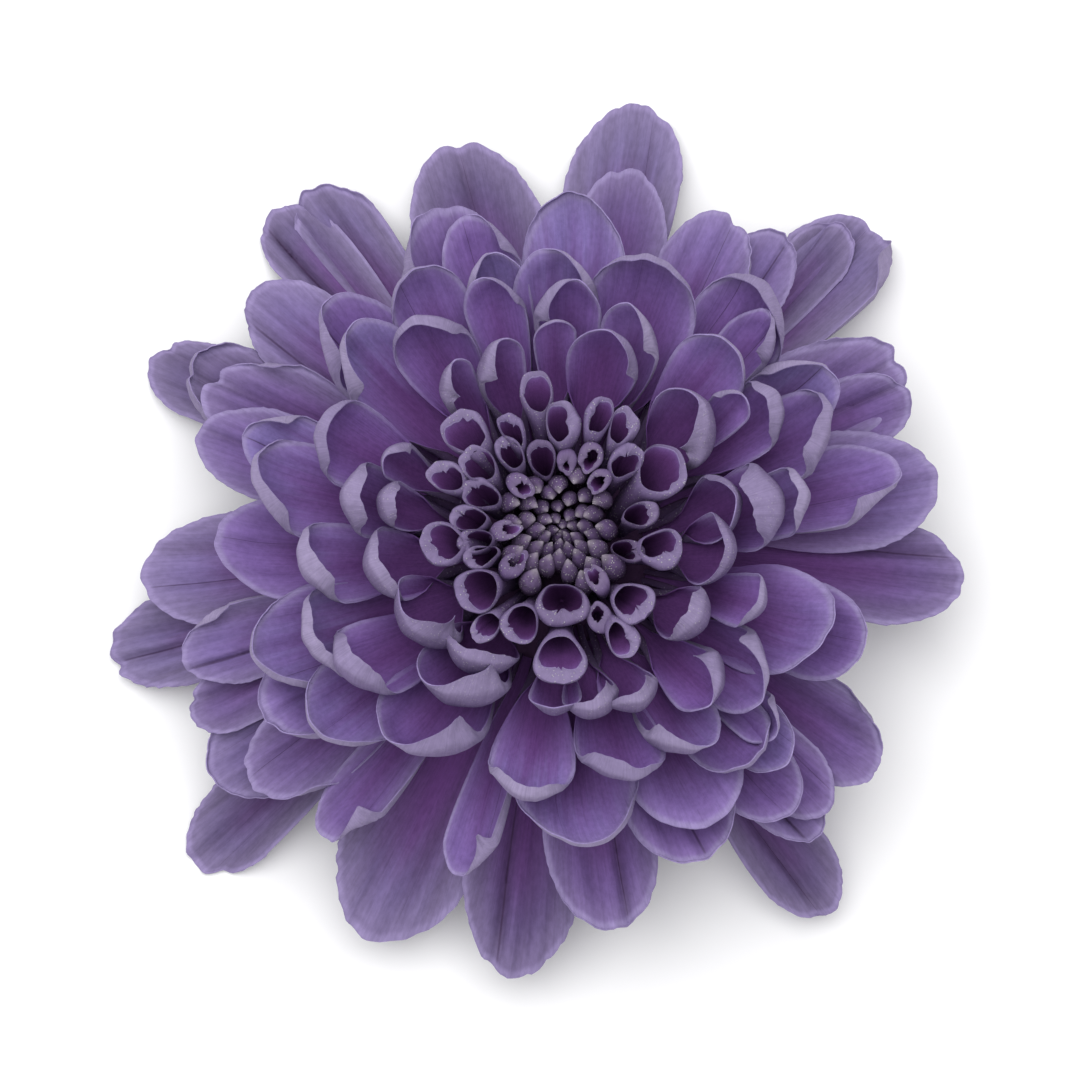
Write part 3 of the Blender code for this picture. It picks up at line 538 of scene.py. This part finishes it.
def pod(foot, belly, tip, wide, deep, profile, mouth, draw, age):
    """A young floret as a bowed pod, closed to a beak or with its rim rolled in round a mouth."""
    place = np.linspace(0, len(profile.rings) - 1, POD_RINGS)
    columns = zip(*profile.rings)
    along, inwards, girth, edge = (np.interp(place, range(len(profile.rings)), column) for column in columns)
    opens = mouth is not NO_MOUTH
    tone = draw.uniform(0, 1)
    phases = draw.uniform(0, 2 * math.pi, 8)
    turn = np.linspace(0, 2 * math.pi, profile.sides, endpoint=False)
    gap = wrapped(turn - math.pi - draw.normal(0, 0.4))
    notch = wrapped(turn - mouth.side - draw.normal(0, 0.5))
    lip = mouth.rim + mouth.lip * (0.5 + 0.5 * np.cos(turn - mouth.side)) ** 2.2
    lip = lip + mouth.slit * np.sin(turn) ** 2
    ragged = zip((0.05, 0.06, 0.04), (5, 9, 13), phases)
    lip *= 1 + sum(size * np.sin(beat * turn + phase) for size, beat, phase in ragged)
    lip -= draw.uniform(0.05, 0.3) * bump(notch, 0.14) * lip
    radius = girth[:, None] ** draw.uniform(0.85, 1.15) * (1 - inwards[:, None] * np.clip(lip, 0, 0.88))
    seam = eased((along - 0.45) / 0.4)
    radius *= 1 - between(0.4, 0.10, opens) * np.outer(seam, bump(gap, 0.3))
    radius *= 1 + 0.025 * np.sin(3 * turn + phases[3]) + 0.015 * np.sin(5 * turn + phases[4])
    upper = eased((along - 0.5) / 0.35) * opens
    horns = 0.012 * np.sin(2 * turn + phases[5]) + 0.010 * np.sin(5 * turn + phases[6])
    s = (along[:, None] + upper[:, None] * (horns - 0.05 * bump(gap, 0.35)))[..., None]
    centre = (1 - s) ** 2 * foot + 2 * s * (1 - s) * belly + s * s * tip
    slope = (1 - s) * (belly - foot) + s * (tip - belly)
    slope /= np.linalg.norm(slope, axis=-1, keepdims=True)
    radial = np.array((belly[0], belly[1], 0.0))
    radial /= max(np.linalg.norm(radial), 1e-6)
    across = np.cross(UP, radial)
    level = radial * math.cos(mouth.tilt) + UP * math.sin(mouth.tilt)
    outward = between(np.cross(across, slope), level, upper[:, None, None])
    ahead = (radius * np.cos(turn) * deep)[..., None] * outward
    teardrop = 1 - mouth.taper * (0.5 - 0.5 * np.cos(turn)) ** 1.4
    beside = (radius * np.sin(turn) * teardrop * wide)[..., None] * across
    points = (centre + ahead + beside).reshape(-1, 3)
    sides = profile.sides
    faces = [tuple(range(sides))[::-1]]
    slots = [1]
    for k in range(POD_RINGS - 1):
        low, high = k * sides, (k + 1) * sides
        for side in range(sides):
            after = (side + 1) % sides
            faces.append((low + side, low + after, high + after, high + side))
            slots.append(1 if place[k] < profile.mouth_ring - 0.01 else 0)
    faces.append(tuple((POD_RINGS - 1) * sides + side for side in range(sides)))
    slots.append(0)
    fan = np.abs(wrapped(turn)) * wide + TONE_SHIFT * tone
    # On an opening pod the place along is cubed, so the painted shade at the foot of the finishes reaches
    # further up its wall.
    flat = np.stack([np.tile(fan, POD_RINGS), np.repeat(along**3.0 if opens else along, sides)], -1)
    return Part(points, flat, np.repeat(edge, sides), 0.0, NO_CREASE, tone, age, faces, slots)


class Finish:
    """A material whose nodes are added one call at a time."""

    def __init__(self, name, roughness, specular=0.12):
        self.material = bpy.data.materials.new(name)
        self.material.use_nodes = True
        self.tree = self.material.node_tree
        self.shader = self.tree.nodes["Principled BSDF"]
        self.shader.inputs["Roughness"].default_value = roughness
        self.shader.inputs["Specular IOR Level"].default_value = specular
        where = self.tree.nodes.new("ShaderNodeTexCoord")
        self.place = where.outputs["Object"]
        self.flat = where.outputs["UV"]

    def feed(self, socket, value):
        if isinstance(value, bpy.types.NodeSocket):
            self.tree.links.new(value, socket)
        else:
            socket.default_value = value

    def math(self, operation, first, second=0.0):
        node = self.tree.nodes.new("ShaderNodeMath")
        node.operation = operation
        self.feed(node.inputs[0], first)
        self.feed(node.inputs[1], second)
        return node.outputs[0]

    def spread(self, value, low, high, to_low=0.0, to_high=1.0):
        """The value from low to high, eased on to the range to_low to to_high."""
        node = self.tree.nodes.new("ShaderNodeMapRange")
        node.interpolation_type = "SMOOTHSTEP"
        for socket, given in zip(node.inputs, (value, low, high, to_low, to_high)):
            self.feed(socket, given)
        return node.outputs[0]

    def mix(self, share, first, second):
        node = self.tree.nodes.new("ShaderNodeMix")
        node.data_type = "RGBA"
        self.feed(node.inputs[0], share)
        for socket, value in ((node.inputs[6], first), (node.inputs[7], second)):
            self.feed(socket, value if isinstance(value, bpy.types.NodeSocket) else (*value, 1))
        return node.outputs[2]

    def shade(self, colour, factor):
        """The colour times a grey that may go over one."""
        node = self.tree.nodes.new("ShaderNodeVectorMath")
        node.operation = "SCALE"
        self.feed(node.inputs[0], colour)
        self.feed(node.inputs["Scale"], factor)
        return node.outputs[0]

    def attribute(self, name):
        node = self.tree.nodes.new("ShaderNodeAttribute")
        node.attribute_name = name
        return node.outputs["Fac"]

    def stretched(self, vector, scale):
        node = self.tree.nodes.new("ShaderNodeMapping")
        self.feed(node.inputs["Vector"], vector)
        node.inputs["Scale"].default_value = scale
        return node.outputs[0]

    def noise(self, vector, scale, detail=3.0, roughness=0.55, distortion=0.0):
        node = self.tree.nodes.new("ShaderNodeTexNoise")
        node.inputs["Distortion"].default_value = distortion
        self.feed(node.inputs["Vector"], vector)
        node.inputs["Scale"].default_value = scale
        node.inputs["Detail"].default_value = detail
        node.inputs["Roughness"].default_value = roughness
        return node.outputs["Fac"]

    def cells(self, vector, scale):
        node = self.tree.nodes.new("ShaderNodeTexVoronoi")
        self.feed(node.inputs["Vector"], vector)
        node.inputs["Scale"].default_value = scale
        return node.outputs["Distance"]

    def split(self, vector):
        node = self.tree.nodes.new("ShaderNodeSeparateXYZ")
        self.feed(node.inputs[0], vector)
        return node.outputs

    def relief(self, height, depth_mm):
        node = self.tree.nodes.new("ShaderNodeBump")
        node.inputs["Strength"].default_value = 1.0
        node.inputs["Distance"].default_value = depth_mm * MM
        self.feed(node.inputs["Height"], height)
        self.feed(self.shader.inputs["Normal"], node.outputs[0])

    def done(self, colour):
        self.feed(self.shader.inputs["Base Color"], colour)
        return self.material


def petal_inner():
    """The upper face: deep plum in the throat, partly the petal's own darker base and partly painted shade,
    clear violet towards the edge, painted shade in its folds and creases, a painted lavender sheen near the
    tips, veined and mottled.
    """
    finish = Finish("petal_inner", 0.7, 0.05)
    along = finish.split(finish.flat)[1]
    names = ("edge", "fold", "crease", "tone", "age")
    edge, fold, crease, tone, age = (finish.attribute(name) for name in names)
    veins = finish.noise(finish.stretched(finish.flat, (4.5, 3.0, 1)), 1.0, 3.0, 0.6, 0.3)
    bands = finish.noise(finish.stretched(finish.flat, (0.9, 1.3, 1)), 1.0, 2.0, 0.5, 0.2)
    mottle = finish.noise(finish.stretched(finish.flat, (2.6, 30.0, 1)), 1.0, 3.0, 0.65)
    tube = finish.mix(tone, (0.152, 0.074, 0.252), (0.198, 0.104, 0.318))
    young = finish.mix(tone, (0.226, 0.118, 0.392), (0.262, 0.146, 0.436))
    middle = finish.mix(tone, (0.182, 0.104, 0.320), (0.214, 0.130, 0.364))
    grown = finish.mix(tone, (0.107, 0.081, 0.175), (0.148, 0.116, 0.222))
    clear = finish.mix(finish.spread(age, 0.30, 0.40), tube, young)
    clear = finish.mix(finish.spread(age, 0.4, 0.6), clear, middle)
    clear = finish.mix(finish.spread(age, 0.65, 0.95), clear, grown)
    # Deep plum towards the petal's foot, reaching further out on the younger florets: partly the petal's own
    # darker base and partly painted throat shade.
    outwards = finish.math("ADD", along, finish.math("MULTIPLY", finish.math("MINIMUM", edge, 1.0), 0.4))
    clear_to = finish.spread(age, 0.28, 0.48, 1.42, 1.14)
    deep_to = finish.math("SUBTRACT", clear_to, 0.65)
    deep = finish.mix(finish.spread(age, 0.18, 0.45), (0.066, 0.022, 0.092), (0.112, 0.043, 0.172))
    colour = finish.mix(finish.spread(outwards, deep_to, clear_to), deep, clear)
    # Painted shade: darker where the sheet dips into a crease or a wave valley.
    colour = finish.mix(finish.math("MULTIPLY", fold, 0.4), colour, (0.060, 0.034, 0.085))
    uneven = finish.math("ADD", along, finish.spread(bands, 0.3, 0.7, -0.12, 0.12))
    sheen = finish.spread(uneven, 0.62, 1.0, 0.0, 0.75)
    sheen = finish.math("MULTIPLY", sheen, finish.spread(tone, 0.25, 0.9))
    sheen = finish.math("MULTIPLY", sheen, finish.spread(age, 0.42, 0.56))
    sheen = finish.math("MULTIPLY", sheen, finish.spread(age, 0.66, 0.80, 1.0, 0.4))
    colour = finish.mix(sheen, colour, (0.235, 0.190, 0.440))
    margin = finish.spread(edge, 0.35, 1.0, 0.0, 0.5)
    margin = finish.math("MULTIPLY", margin, finish.spread(age, 0.65, 0.9))
    colour = finish.mix(margin, colour, (0.186, 0.153, 0.252))
    # Painted shade: a thin dark line along the crease, where the sheet folds down.
    line = finish.spread(finish.math("ABSOLUTE", crease), 0.02, 0.26, 0.7, 0.0)
    line = finish.math("MULTIPLY", line, finish.spread(along, 0.3, 0.6))
    colour = finish.mix(line, colour, (0.040, 0.020, 0.056))
    rim = finish.spread(edge, 0.6, 1.0, 0.0, 0.25)
    rim = finish.math("ADD", rim, finish.spread(edge, 0.90, 0.98, 0.0, 0.6))
    pale = finish.math("MULTIPLY", rim, finish.spread(along, 0.45, 0.75))
    colour = finish.mix(pale, colour, (0.270, 0.218, 0.400))
    factor = finish.spread(veins, 0.3, 0.7, 0.93, 1.07)
    factor = finish.math("ADD", factor, finish.spread(bands, 0.3, 0.7, -0.05, 0.05))
    factor = finish.math("ADD", factor, finish.spread(mottle, 0.3, 0.7, -0.09, 0.09))
    finish.relief(finish.math("ADD", veins, finish.math("MULTIPLY", mottle, 0.5)), 0.05)
    return finish.done(finish.shade(colour, factor))


def petal_outer():
    """The under face, seen where a margin rolls over: pale grey lilac, striped, with tiny beads; painted
    shade makes it near black towards the foot and darker violet on the wall below the lip.
    """
    finish = Finish("petal_outer", 0.66)
    along = finish.split(finish.flat)[1]
    edge, tone, age = (finish.attribute(name) for name in ("edge", "tone", "age"))
    stripes = finish.noise(finish.stretched(finish.flat, (6.5, 2.0, 1)), 1.0, 4.0, 0.65, 0.2)
    mottle = finish.noise(finish.place, 1500.0, 2.0)
    beads = finish.spread(finish.cells(finish.place, 2900.0), 0.16, 0.30, 1.0, 0.0)
    patches = finish.spread(finish.noise(finish.place, 900.0, 1.0), 0.38, 0.51)
    beads = finish.math("MULTIPLY", beads, patches)
    beads = finish.math("MULTIPLY", beads, finish.spread(age, 0.2, 0.5, 0.8, 0.10))
    budding = finish.mix(tone, (0.115, 0.082, 0.162), (0.145, 0.108, 0.195))
    young = finish.mix(tone, (0.165, 0.124, 0.240), (0.198, 0.155, 0.278))
    grown = finish.mix(tone, (0.210, 0.168, 0.300), (0.262, 0.218, 0.352))
    clear = finish.mix(finish.spread(age, 0.17, 0.24), budding, young)
    clear = finish.mix(finish.spread(age, 0.25, 0.5), clear, grown)
    # Painted shade: near black towards the foot of the under face.
    colour = finish.mix(finish.spread(along, 0.2, 0.75), (0.034, 0.015, 0.046), clear)
    # Painted shade: darker violet on the outer wall below the lip, which faces down and out, fading to none
    # on the lip.
    colour = finish.mix(finish.spread(edge, 0.5, 1.3, 0.6, 0.0), colour, (0.145, 0.092, 0.225))
    factor = finish.spread(stripes, 0.28, 0.72, 0.90, 1.10)
    factor = finish.math("ADD", factor, finish.spread(mottle, 0.3, 0.7, -0.06, 0.06))
    colour = finish.mix(beads, finish.shade(colour, factor), (0.42, 0.39, 0.46))
    height = finish.math("ADD", stripes, finish.math("MULTIPLY", beads, 1.5))
    finish.relief(height, 0.06)
    return finish.done(colour)


def young_skin():
    """The closed young florets: dusky violet, near black low down where painted shade falls between them,
    paler and greyer at the beak, covered in tiny beads.
    """
    finish = Finish("young_skin", 0.7)
    tip, tone = (finish.attribute(name) for name in ("edge", "tone"))
    blotches = finish.noise(finish.place, 1800.0, 3.0)
    beads = finish.spread(finish.cells(finish.place, 3300.0), 0.16, 0.32, 1.0, 0.0)
    patches = finish.spread(finish.noise(finish.place, 1300.0, 1.0), 0.30, 0.44)
    beads = finish.math("MULTIPLY", beads, patches)
    body = finish.mix(tone, (0.088, 0.055, 0.130), (0.122, 0.083, 0.166))
    # Painted shade: near black on the lower part of each pod, between its crowded neighbours.
    colour = finish.mix(finish.spread(tip, 0.45, 0.8), (0.030, 0.012, 0.036), body)
    colour = finish.mix(finish.spread(tip, 0.86, 1.0, 0.0, 0.7), colour, (0.225, 0.200, 0.225))
    colour = finish.mix(finish.math("MULTIPLY", beads, 0.75), colour, (0.46, 0.43, 0.47))
    height = finish.math("ADD", finish.math("MULTIPLY", beads, 1.2), blotches)
    finish.relief(height, 0.07)
    return finish.done(finish.shade(colour, finish.spread(blotches, 0.3, 0.7, 0.82, 1.18)))


def leaf_green():
    """The bracts: mid green with a midrib, and a thin papery edge."""
    finish = Finish("leaf_green", 0.6)
    edge, tone = (finish.attribute(name) for name in ("edge", "tone"))
    stripes = finish.noise(finish.stretched(finish.flat, (5.0, 1.0, 1)), 1.0, 4.0, 0.6)
    green = finish.mix(tone, (0.070, 0.120, 0.035), (0.110, 0.165, 0.050))
    colour = finish.mix(finish.spread(edge, 0.0, 0.16, 0.5, 0.0), green, (0.17, 0.24, 0.09))
    colour = finish.mix(finish.spread(edge, 0.78, 0.98), colour, (0.25, 0.21, 0.11))
    finish.relief(stripes, 0.08)
    return finish.done(finish.shade(colour, finish.spread(stripes, 0.3, 0.7, 0.8, 1.2)))


def stem_green():
    """The stub: ribbed green skin, finely streaked along the stem."""
    finish = Finish("stem_green", 0.55)
    streaks = finish.noise(finish.stretched(finish.place, (900, 900, 90)), 1.0, 4.0, 0.6)
    colour = finish.mix(finish.spread(streaks, 0.3, 0.7), (0.085, 0.135, 0.040), (0.150, 0.215, 0.075))
    finish.relief(streaks, 0.08)
    return finish.done(colour)


def receptacle_painted_shade():
    """The dome between the florets' feet, painted near black as the shade seen through the gaps between the
    florets.
    """
    finish = Finish("receptacle_painted_shade", 0.8)
    lumps = finish.noise(finish.place, 900.0, 3.0)
    finish.relief(lumps, 0.2)
    # Painted shade: near black violet, so the gaps between the florets read dark.
    return finish.done(finish.mix(lumps, (0.026, 0.010, 0.034), (0.055, 0.024, 0.066)))


TUBE_FOOT_R = 5.6
TUBE_FOOT_Z = 15.4
TUBE_BEND = 6.0
TUBE_LIP_TURN = math.radians(75)


def tube_depth(reach, breadth):
    """How deep a small tube's mouth is along the radius, halved."""
    return np.interp(reach, (11, 16.5), (1.5 + 0.14 * breadth, 0.9 + 0.31 * breadth))


def tube_floret(azimuth, reach, breadth, curl, lip, draw):
    """A small ray floret as a tube with a whole rim, rolled in furthest on one side."""
    toward = facing(azimuth)
    deep = tube_depth(reach, breadth)
    slit, tilt, taper = draw.uniform(0, 0.12), draw.uniform(0.1, 0.3), draw.uniform(0.15, 0.45)
    mouth = Mouth(0.035, 0.5 * lip, curl * TUBE_LIP_TURN, slit, tilt, taper)
    top = stage_at(reach).tip_z - 0.7 + draw.normal(0, 0.15)
    lean = math.radians(np.interp(reach, (8, 14, 17), (8, 34, 42)))
    tip = toward * (reach - deep) + UP * top
    belly = tip - TUBE_BEND * (toward * math.sin(lean) + UP * math.cos(lean))
    foot = toward * TUBE_FOOT_R + UP * TUBE_FOOT_Z
    return pod(foot, belly, tip, 0.5 * breadth, deep, OPEN_POD, mouth, draw, reach / FULL_REACH)


def ray_florets(materials):
    """The listed florets: tubes, cups, spoons, straps and the straps of the rim."""
    tubes = [
        tube_floret(*numbers, np.random.default_rng((SEED, TUBE_COUNT_FROM + order)))
        for order, numbers in enumerate(RAY_FLORETS)
        if numbers[1] < TUBES_TO
    ]
    made = [petal_object("tube_florets", tubes, materials)]
    kinds = {
        "cupped_florets": (TUBES_TO, CUPS_TO, CUP_DETAIL),
        "spoon_florets": (CUPS_TO, SPOONS_TO, SPOON_DETAIL),
        "strap_florets": (SPOONS_TO, STRAPS_TO, STRAP_DETAIL),
        "rim_florets": (STRAPS_TO, math.inf, STRAP_DETAIL),
    }
    for kind, (nearest, farthest, detail) in kinds.items():
        parts = []
        for order, (azimuth, reach, breadth, curl, lip) in enumerate(RAY_FLORETS):
            if nearest <= reach < farthest:
                nature = Nature(np.random.default_rng((SEED, order)), reach)
                sheet = floret(azimuth, stage_at(reach), breadth, curl, lip, nature, detail)
                parts.append(thick_part(sheet, detail.trough, SHEET_THICKNESS))
        made.append(petal_object(kind, parts, materials))
    for piece in made:
        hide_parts("ray_florets")
    return made


# Closed pods stand out to the first radius, and opening florets from there to the second
PODS_TO = 6.4
OPENING_TO = 10.8
POD_PACKING = 0.53
POD_FOOT_Z = 16.8
CLOSED_ROOM = 0.72
OPENING_ROOM = 0.82


def taken(toward, radius, width, room):
    """Whether the mouth of a listed floret already fills this place."""
    for azimuth, reach, breadth, _, _ in RAY_FLORETS:
        deep = tube_depth(reach, breadth) if reach < TUBES_TO else 0.42 * breadth
        mouth = facing(azimuth) * (reach - deep)
        if np.linalg.norm(mouth - toward * radius) < room * (breadth + width) / 2:
            return True
    return False


def young_florets(materials):
    """Pods on a spiral from the centre out, each with room for its width: closed, then opening."""
    closed, opening = [], []
    order = 0
    radius = 0.3
    while radius < OPENING_TO:
        draw = np.random.default_rng((SEED, POD_COUNT_FROM + order))
        width = min(between(0.95, 2.2, radius / PODS_TO), 2.7) * draw.uniform(0.9, 1.12)
        toward = facing(-order * GOLDEN_ANGLE + draw.normal(0, 3))
        lean = np.interp(radius, (0, PODS_TO, OPENING_TO), (0.6, 1.7, 0.0)) * draw.uniform(0.8, 1.2)
        bow = np.interp(radius, (0, PODS_TO, OPENING_TO), (0.65, 1.3, 0.0))
        tip_z = np.interp(radius, (0, 3, 5, 7, 9, 11), (22.6, 23.9, 24.9, 25.4, 25.0, 24.0))
        tip_z += draw.normal(0, 0.2)
        foot = toward * min(radius * 0.75, 6) + UP * POD_FOOT_Z
        belly = toward * (radius + bow) + UP * between(POD_FOOT_Z, tip_z, 0.76)
        tip = toward * (radius - lean) + UP * tip_z
        half = width / 2
        if radius < PODS_TO:
            if not taken(toward, radius, width, CLOSED_ROOM):
                closed.append(pod(foot, belly, tip, half, 0.85 * half, CLOSED_POD, NO_MOUTH, draw, 0.0))
        elif not taken(toward, radius, width, OPENING_ROOM):
            side, slit = draw.uniform(-1.2, 1.2), draw.uniform(0.15, 0.4)
            rim, lip, tilt = draw.uniform(0.2, 0.4), draw.uniform(0.2, 0.5), draw.uniform(-0.1, 0.2)
            mouth = Mouth(rim, lip, side, slit, tilt, 0.2)
            age = radius / FULL_REACH
            opening.append(pod(foot, belly, tip, half, 1.15 * half, OPEN_POD, mouth, draw, age))
        radius = math.hypot(radius, POD_PACKING * width)
        order += 1
    skin = young_skin()
    pods = petal_object("young_pods", closed, (skin, skin))
    mouths = petal_object("opening_florets", opening, materials)
    for piece in (pods, mouths):
        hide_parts("young_florets")
    return pods, mouths


# Outlines of the turned forms, as radius and height
CORE_PROFILE = (
    (0, 10.2),
    (8.6, 10.2),
    (10.8, 11.2),
    (11.6, 12.4),
    (10.8, 14.0),
    (8.8, 15.0),
    (6.8, 15.9),
    (0, 17.0),
)


def receptacle():
    """The dome that the florets' feet are sunk in."""
    points, faces = lathe(rounded(CORE_PROFILE), 72)
    piece = plain_object("receptacle", points, faces, receptacle_painted_shade())
    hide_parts("ray_florets")
    return piece


CUP_PROFILE = ((0, 6.4), (3.4, 6.5), (6.6, 7.3), (9.2, 8.9), (9.9, 10.1), (0, 10.1))
BractRow = namedtuple("BractRow", "count stage breadth")
BRACT_ROWS = (
    BractRow(9, Stage(8.2, 7.9, 3.0, 6.6, 4, 34, 20), 4.2),
    BractRow(13, Stage(10.0, 9.4, 4.4, 7.0, 10, 44, 22), 4.0),
    BractRow(17, Stage(11.2, 10.6, 5.6, 7.6, 16, 52, 24), 3.9),
)
BRACT_DETAIL = Detail(6, 9, 6, 1)


def involucre():
    """The green cup under the head, with three rows of bracts."""
    green = leaf_green()
    bracts = []
    for number, row in enumerate(BRACT_ROWS):
        for k in range(row.count):
            draw = np.random.default_rng((SEED, BRACT_COUNT_FROM + BRACT_COUNT_STEP * number + k))
            azimuth = 360 * (k + 0.5 * (number % 2) + draw.uniform(-0.12, 0.12)) / row.count
            stage = row.stage._replace(tip_z=row.stage.tip_z + draw.uniform(-0.3, 0.3))
            nature = Nature(draw, 0)
            nature.limb = draw.uniform(1.1, 1.4)
            nature.roll_out[:] = 0
            nature.notch_depth = 0
            sheet = floret(azimuth, stage, row.breadth * draw.uniform(0.9, 1.1), 0, 0, nature, BRACT_DETAIL)
            bracts.append(thick_part(sheet, BRACT_DETAIL.trough, BRACT_THICKNESS))
    leaves = petal_object("involucre_bracts", bracts, (green, green))
    points, faces = lathe(rounded(CUP_PROFILE), 60)
    cup = plain_object("involucre_cup", points, faces, green)
    for piece in (leaves, cup):
        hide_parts("involucre")
    return leaves, cup


STUB_PROFILE = (
    (0, 0),
    (2.6, 0),
    (2.68, 0.12),
    (2.6, 2.6),
    (2.7, 4.6),
    (3.2, 6.2),
    (3.3, 6.7),
    (0, 6.7),
)


def peduncle():
    """The ribbed stub, from its cut end up into the cup."""

    def ribbed(angle):
        return 1 + 0.05 * math.cos(7 * angle) + 0.012 * math.cos(16 * angle + 1)

    points, faces = lathe(rounded(STUB_PROFILE), 112, ribbed)
    piece = plain_object("stem_stub", points, faces, stem_green())
    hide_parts("peduncle")
    return piece


CAMERA_ELEVATION = 80.0
CAMERA_DISTANCE = 517.0
CAMERA_TARGET = Vector((-2.07, 0.5, 15)) * MM
CAMERA_LENS = 180
FLOOR_SIZE = 1800
FLOOR_GAP = 0.02
SKY_STRENGTH = 0.72


def camera():
    """The photograph's view, from nearly straight above."""
    data = bpy.data.cameras.new("camera")
    data.lens = CAMERA_LENS
    made = bpy.data.objects.new("camera", data)
    rise = math.radians(CAMERA_ELEVATION)
    back = Vector((0, -math.cos(rise), math.sin(rise)))
    made.location = CAMERA_TARGET + back * CAMERA_DISTANCE * MM
    made.rotation_euler = (-back).to_track_quat("-Z", "Y").to_euler()
    bpy.context.scene.collection.objects.link(made)
    bpy.context.scene.camera = made


def lamp(name, place_mm, size_mm, watts):
    data = bpy.data.lights.new(name, "AREA")
    data.energy = watts
    data.size = size_mm * MM
    made = bpy.data.objects.new(name, data)
    made.location = Vector(place_mm) * MM
    made.rotation_euler = (-made.location).to_track_quat("-Z", "Y").to_euler()
    bpy.context.scene.collection.objects.link(made)


def studio():
    """A pale floor, an even white sky and one large soft lamp."""
    finish = Finish("floor_paint", 0.9)
    grain = finish.noise(finish.place, 60.0, 2.0)
    paint = finish.done(finish.mix(grain, (0.86, 0.86, 0.87), (0.88, 0.88, 0.89)))
    half = FLOOR_SIZE / 2
    corners = [(-half, -half, 0), (half, -half, 0), (half, half, 0), (-half, half, 0)]
    floor = plain_object("floor", corners, [(0, 1, 2, 3)], paint)
    floor.location.z = -FLOOR_GAP * MM
    world = bpy.data.worlds.new("studio")
    world.use_nodes = True
    background = world.node_tree.nodes["Background"]
    background.inputs["Color"].default_value = (1, 1, 1, 1)
    background.inputs["Strength"].default_value = SKY_STRENGTH
    bpy.context.scene.world = world
    lamp("key", (-80, 100, 630), 700, 4.2)
    bpy.context.scene.view_settings.view_transform = "Standard"


def main():
    petals = petal_inner(), petal_outer()
    made = [*ray_florets(petals), *young_florets(petals), receptacle(), *involucre(), peduncle()]
    for piece in made:
        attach(piece, "root")
    studio()
    camera()


main()
